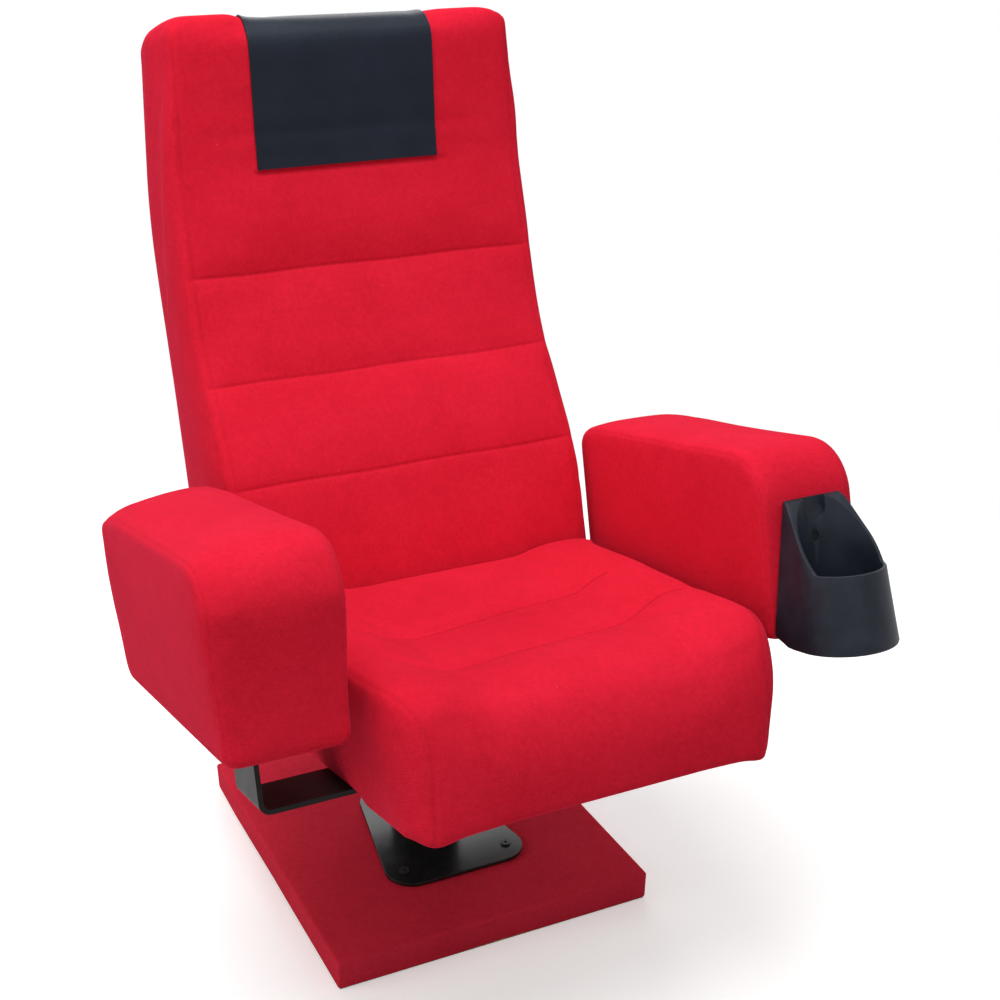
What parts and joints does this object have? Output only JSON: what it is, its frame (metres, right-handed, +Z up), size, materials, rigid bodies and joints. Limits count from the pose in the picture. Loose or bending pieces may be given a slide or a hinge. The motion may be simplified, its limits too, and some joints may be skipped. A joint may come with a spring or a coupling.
{
  "type": "cinema seat",
  "caption": "Upholstered cinema seat that rocks on a single steel pedestal, with channelled cushions, padded arms, a head cover and a cup holder",
  "frame": {"origin": "on the floor under the pedestal column's centre line", "axes": "+Z up; the seat faces -Y, so azimuth 0 looks along +Y at its front; +X to the right"},
  "size_m": [0.786, 0.8706, 1.1054],
  "materials": {
    "chipboard": "raw chipboard, hidden under the carpet",
    "carpet": "short red needle-felt carpet",
    "black_steel": "black powder coat, satin",
    "black_screws": "blackened screw heads",
    "buffer_rubber": "matt black rubber",
    "bright_steel": "zinc plated",
    "spring_steel": "oiled spring wire",
    "nylon": "natural nylon",
    "plywood": "raw birch plywood",
    "seat_fabric": "red brushed upholstery cloth over moulded foam",
    "panel_fabric": "red upholstery cloth over a board",
    "leatherette": "black leatherette with fine grain",
    "cup_plastic": "dark slate grey moulded plastic, fine texture"
  },
  "bodies": {
    "base": {"platform_board": "chipboard", "platform_carpet": "carpet", "foot_plate": "black_steel", "foot_screws": "black_screws", "pedestal_column": "black_steel", "rocker_base": "black_steel", "front_buffers": "buffer_rubber", "rear_buffer": "buffer_rubber", "pivot_shaft": "bright_steel", "shaft_circlips": "bright_steel", "return_springs": "spring_steel"},
    "seat": {"seat_carrier": "black_steel", "pivot_bushes": "nylon", "front_strap": "black_steel", "rear_strap": "black_steel", "pan_spacer": "black_steel", "pan_bolts": "bright_steel", "left_arm_upright": "black_steel", "right_arm_upright": "black_steel", "left_arm_core": "plywood", "right_arm_core": "plywood", "arm_bolts": "bright_steel", "left_arm_pad": "seat_fabric", "right_arm_pad": "seat_fabric", "cup_holder": "cup_plastic", "cup_holder_screws": "black_screws", "seat_pan": "plywood", "seat_cushion": "seat_fabric", "left_back_bracket": "black_steel", "right_back_bracket": "black_steel", "back_frame": "black_steel", "back_bolts": "bright_steel", "back_board": "plywood", "back_cushion": "seat_fabric", "rear_panel": "panel_fabric", "panel_clips": "nylon", "head_cover": "leatherette"}
  },
  "joints": [
    {"name": "rock", "type": "hinge", "parent": "base", "child": "seat", "pos_m": [0, 0, 0.215], "axis": [-1, 0, 0], "range_deg": [0, 10], "stiffness_Nm_per_rad": 420, "springref_deg": -2.86, "deforming": ["return_springs"]}
  ]
}
